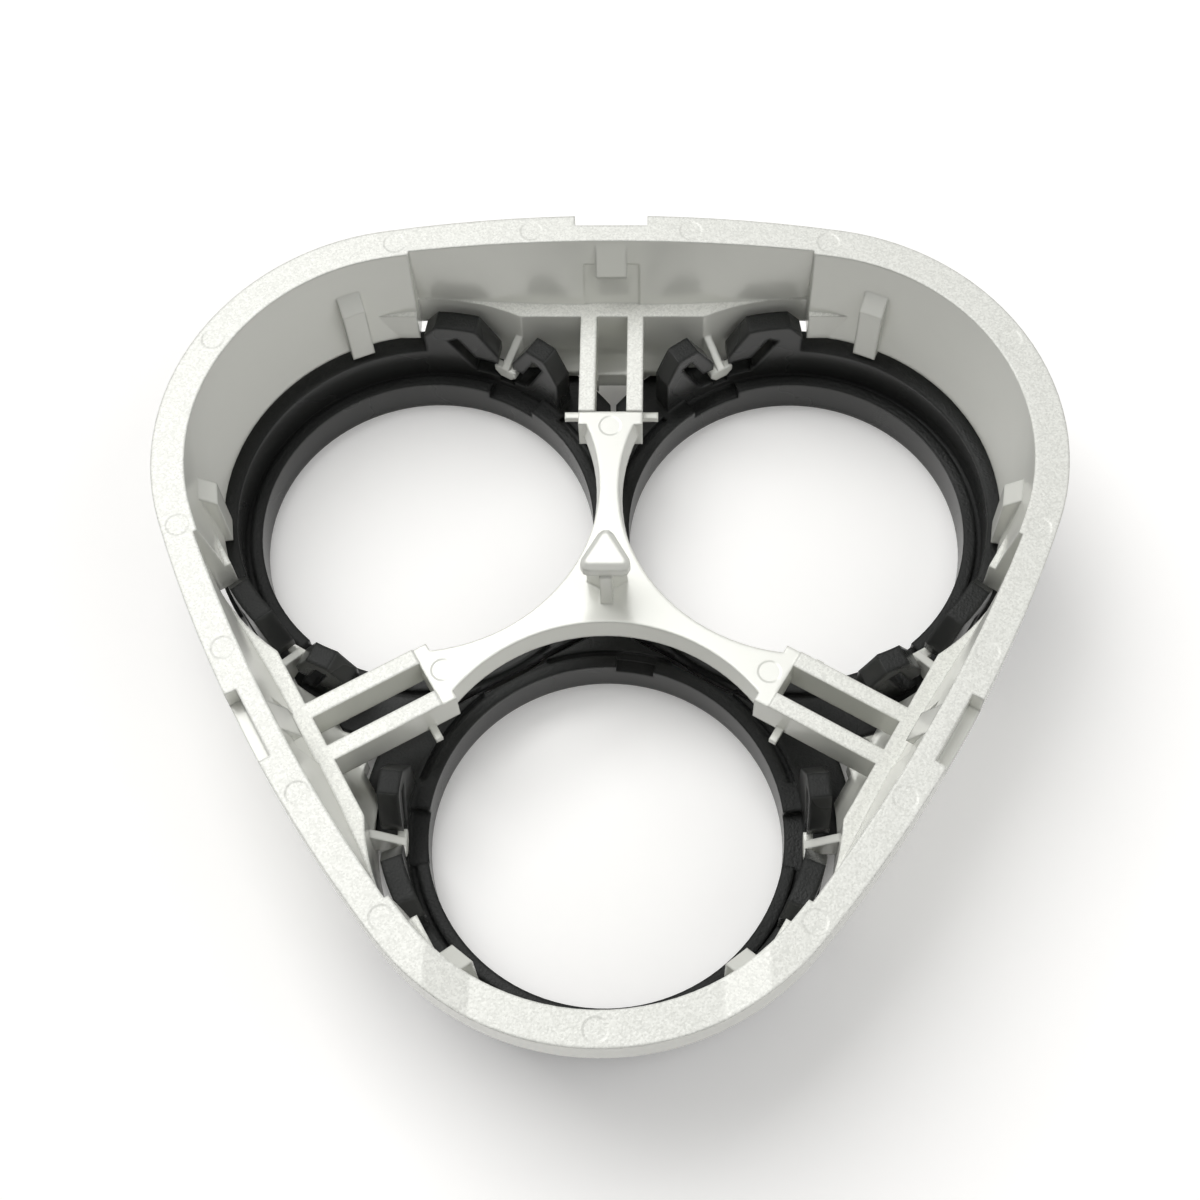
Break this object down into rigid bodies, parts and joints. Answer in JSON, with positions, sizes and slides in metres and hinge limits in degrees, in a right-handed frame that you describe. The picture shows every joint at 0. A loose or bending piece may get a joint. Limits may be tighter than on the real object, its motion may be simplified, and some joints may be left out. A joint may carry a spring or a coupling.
{
  "type": "shaver head holder",
  "caption": "Rounded three-cornered holder for a rotary shaver: a silver frame with a centre pin carries black rings that each tilt on a pair of fingers.",
  "frame": {"origin": "on the axis of the centre pin, in the plane of the ring fronts that the holder lies on", "axes": "+Z along the pin towards the rim, -Y towards the front corner, +X to the right"},
  "size_m": [0.0584, 0.0561, 0.0147],
  "materials": {
    "silver_plastic": "silver-grey moulded plastic with fine metal flake, satin",
    "black_plastic": "black moulded plastic, satin"
  },
  "bodies": {
    "holder": {"holder_frame": "silver_plastic"},
    "front_head": {"front_ring": "black_plastic"},
    "right_head": {"right_ring": "black_plastic"},
    "left_head": {"left_ring": "black_plastic"}
  },
  "joints": [
    {"name": "front_ring_tilt", "type": "hinge", "parent": "holder", "child": "front_head", "pos_m": [0, -0.01613, 0.0042], "axis": [1, 0, 0], "range_deg": [-1, 6]},
    {"name": "right_ring_tilt", "type": "hinge", "parent": "holder", "child": "right_head", "pos_m": [0.01397, 0.00806, 0.0042], "axis": [-0.5, 0.866, 0], "range_deg": [-1, 6]},
    {"name": "left_ring_tilt", "type": "hinge", "parent": "holder", "child": "left_head", "pos_m": [-0.01397, 0.00806, 0.0042], "axis": [-0.5, -0.866, 0], "range_deg": [-1, 6]}
  ]
}
